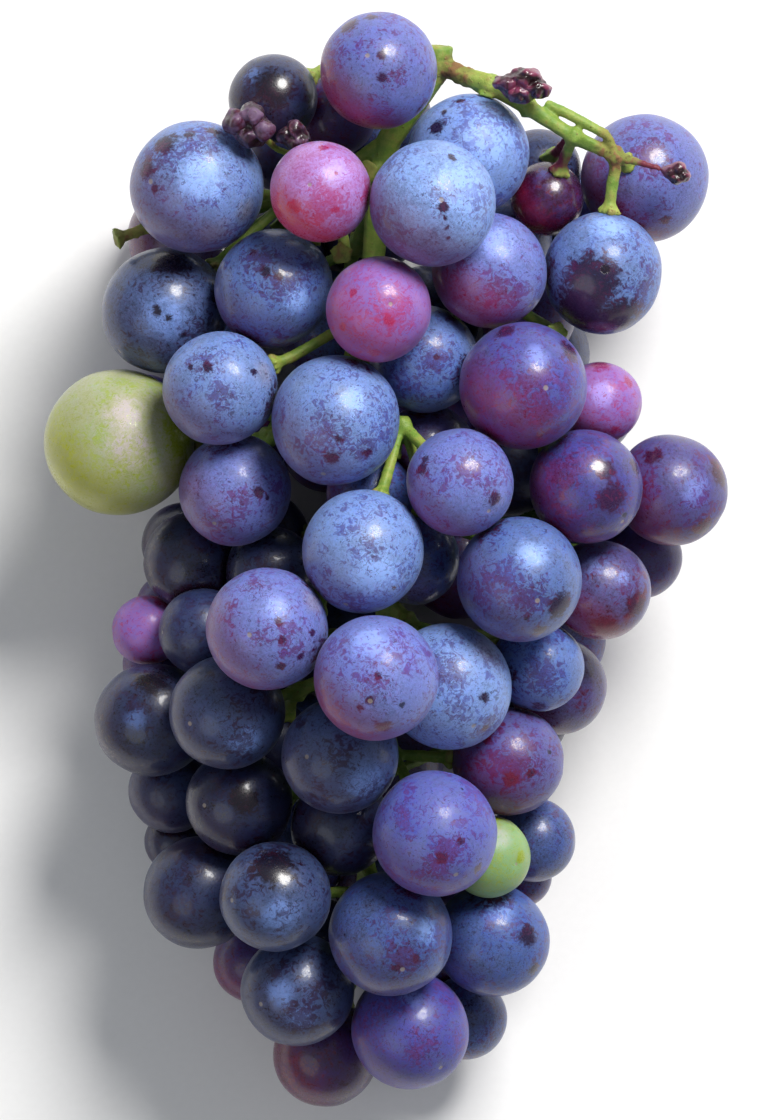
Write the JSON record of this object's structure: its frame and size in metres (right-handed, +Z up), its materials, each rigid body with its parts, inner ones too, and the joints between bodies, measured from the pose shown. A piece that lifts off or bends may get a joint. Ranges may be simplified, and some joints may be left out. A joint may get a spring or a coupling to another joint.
{
  "type": "bunch of grapes",
  "caption": "Cone-shaped bunch of round dark grapes on a branched green stem, lying on its back, with a bare side arm at the stem end.",
  "frame": {"origin": "middle of the bounding box in X and Y, at the surface that the bunch lies on", "axes": "+Y along the bunch towards its stem end, +Z up from the surface, +X to the right when looked down on with the stem end at the top"},
  "size_m": [0.103, 0.1654, 0.0671],
  "materials": {
    "blue_skin": "waxy bloom over dark blue skin",
    "violet_skin": "waxy bloom over violet skin",
    "plum_skin": "mostly rubbed, glossy plum skin",
    "pink_skin": "thin bloom over unripe pink skin",
    "green_skin": "thin bloom over unripe green skin",
    "slate_skin": "thin bloom over nearly black skin",
    "dried_skin": "wrinkled, half glossy",
    "green_stem": "fresh green, brown and corky at the joints"
  },
  "bodies": {
    "root": {"stem": "green_stem", "blue_berry_01": "blue_skin", "blue_berry_02": "blue_skin", "blue_berry_03": "blue_skin", "blue_berry_04": "blue_skin", "blue_berry_05": "blue_skin", "blue_berry_06": "blue_skin", "blue_berry_07": "blue_skin", "blue_berry_08": "blue_skin", "blue_berry_09": "blue_skin", "blue_berry_10": "blue_skin", "blue_berry_11": "blue_skin", "blue_berry_12": "blue_skin", "blue_berry_13": "blue_skin", "blue_berry_14": "blue_skin", "green_berry_01": "green_skin", "green_berry_02": "green_skin", "inner_berries_a": "slate_skin", "inner_berries_b": "slate_skin", "inner_berries_c": "slate_skin", "inner_berries_f": "slate_skin", "inner_berries_g": "slate_skin", "inner_berries_m": "slate_skin", "inner_berries_o": "slate_skin", "inner_berries_r": "slate_skin", "pink_berry_01": "pink_skin", "pink_berry_02": "pink_skin", "pink_berry_03": "pink_skin", "pink_berry_04": "pink_skin", "plum_berry_01": "plum_skin", "plum_berry_02": "plum_skin", "plum_berry_03": "plum_skin", "plum_berry_04": "plum_skin", "plum_berry_05": "plum_skin", "plum_berry_06": "plum_skin", "raisin_left_large": "dried_skin", "raisin_left_small": "dried_skin", "raisin_on_arm": "dried_skin", "raisin_on_thin_stalk": "dried_skin", "slate_berry_01": "slate_skin", "slate_berry_02": "slate_skin", "slate_berry_03": "slate_skin", "slate_berry_04": "slate_skin", "slate_berry_05": "slate_skin", "slate_berry_06": "slate_skin", "slate_berry_07": "slate_skin", "slate_berry_08": "slate_skin", "slate_berry_09": "slate_skin", "slate_berry_10": "slate_skin", "violet_berry_01": "violet_skin", "violet_berry_02": "violet_skin", "violet_berry_03": "violet_skin", "violet_berry_04": "violet_skin", "violet_berry_05": "violet_skin", "violet_berry_06": "violet_skin", "violet_berry_07": "violet_skin", "violet_berry_08": "violet_skin", "violet_berry_09": "violet_skin", "violet_berry_10": "violet_skin", "violet_berry_11": "violet_skin"}
  },
  "joints": []
}
